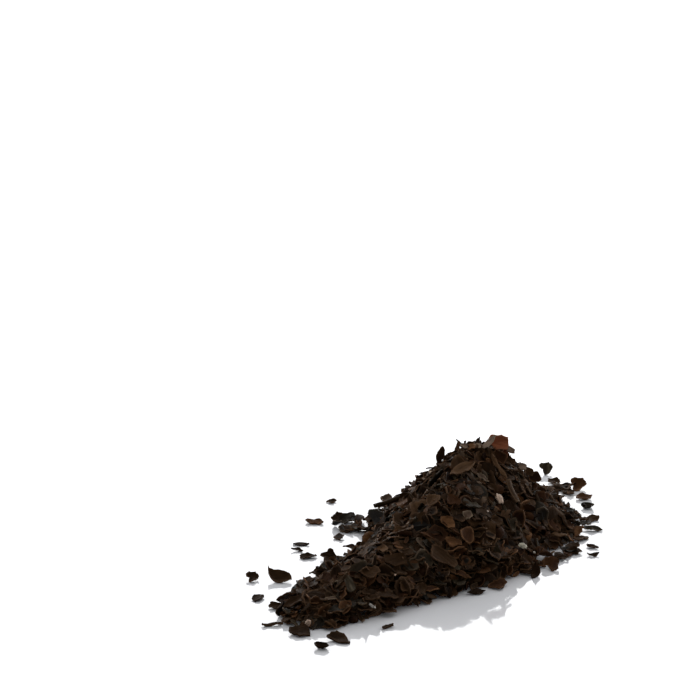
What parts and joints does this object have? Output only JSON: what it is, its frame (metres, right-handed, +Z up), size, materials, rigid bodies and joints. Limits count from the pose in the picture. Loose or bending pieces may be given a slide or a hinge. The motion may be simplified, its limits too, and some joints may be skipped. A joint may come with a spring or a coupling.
{
  "type": "heap of dried cut bladderwrack",
  "caption": "Poured heap of dried, cut bladderwrack frond: dark brown curled flakes, midrib strips and bladder halves, with loose flakes lying round its foot.",
  "frame": {"origin": "middle of the whole footprint on the table, the loose flakes included", "axes": "+Z up; +X to the right and +Y away, as the heap is seen from its long front side, so that the tail runs out towards -X and -Y"},
  "size_m": [0.1203, 0.171, 0.0347],
  "materials": {
    "dry_frond": "dry, brittle and leathery, dark reddish brown to olive black, with a soft dull sheen"
  },
  "bodies": {
    "root": {"heap": "dry_frond", "loose_flake_01": "dry_frond", "loose_flake_02": "dry_frond", "loose_flake_03": "dry_frond", "loose_flake_04": "dry_frond", "loose_flake_05": "dry_frond", "loose_flake_06": "dry_frond", "loose_flake_07": "dry_frond", "loose_flake_08": "dry_frond", "loose_flake_09": "dry_frond", "loose_flake_10": "dry_frond", "loose_flake_11": "dry_frond", "loose_flake_12": "dry_frond", "loose_flake_13": "dry_frond", "loose_flake_14": "dry_frond", "loose_flake_15": "dry_frond", "loose_flake_16": "dry_frond", "loose_flake_17": "dry_frond", "loose_flake_18": "dry_frond", "loose_flake_19": "dry_frond", "loose_flake_20": "dry_frond", "loose_flake_21": "dry_frond", "loose_flake_22": "dry_frond", "loose_flake_23": "dry_frond", "loose_flake_24": "dry_frond", "loose_flake_25": "dry_frond", "loose_flake_26": "dry_frond", "loose_flake_27": "dry_frond", "loose_flake_28": "dry_frond", "loose_flake_29": "dry_frond", "loose_flake_30": "dry_frond", "loose_flake_31": "dry_frond", "loose_flake_32": "dry_frond", "loose_flake_33": "dry_frond", "loose_flake_34": "dry_frond", "loose_flake_35": "dry_frond", "loose_flake_36": "dry_frond", "loose_flake_37": "dry_frond"}
  },
  "joints": []
}
